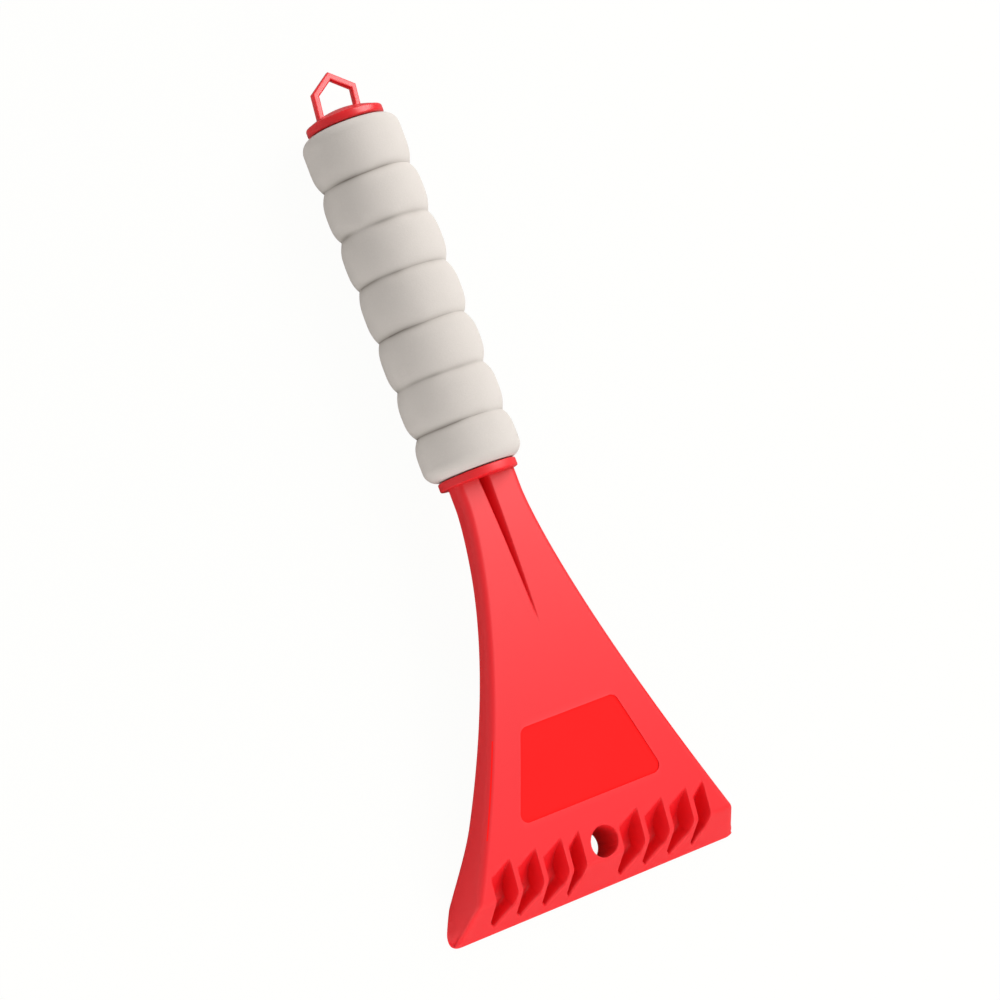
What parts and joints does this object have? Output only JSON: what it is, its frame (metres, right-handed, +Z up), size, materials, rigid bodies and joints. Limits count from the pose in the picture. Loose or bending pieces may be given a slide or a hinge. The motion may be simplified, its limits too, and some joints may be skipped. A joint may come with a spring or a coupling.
{
  "type": "windshield ice scraper",
  "caption": "Hand ice scraper: fan-shaped bevelled blade with ice-breaking teeth and a hanging hole, on a tube handle with a ribbed foam grip and a loop at its end.",
  "frame": {"origin": "bottom centre of the bounding box, on the surface that the scraper lies on", "axes": "+X across the blade, +Y along the handle from the cutting edge towards the hanging loop, +Z up out of the blade's front face"},
  "size_m": [0.1148, 0.2798, 0.036],
  "materials": {
    "red_plastic_head": "satin moulded polypropylene",
    "red_plastic_cap": "satin moulded polypropylene",
    "foam": "matte closed-cell foam",
    "tube_metal": "mill finish"
  },
  "bodies": {
    "root": {"scraper_head": "red_plastic_head", "handle_tube": "tube_metal", "foam_grip": "foam", "end_cap": "red_plastic_cap"}
  },
  "joints": []
}
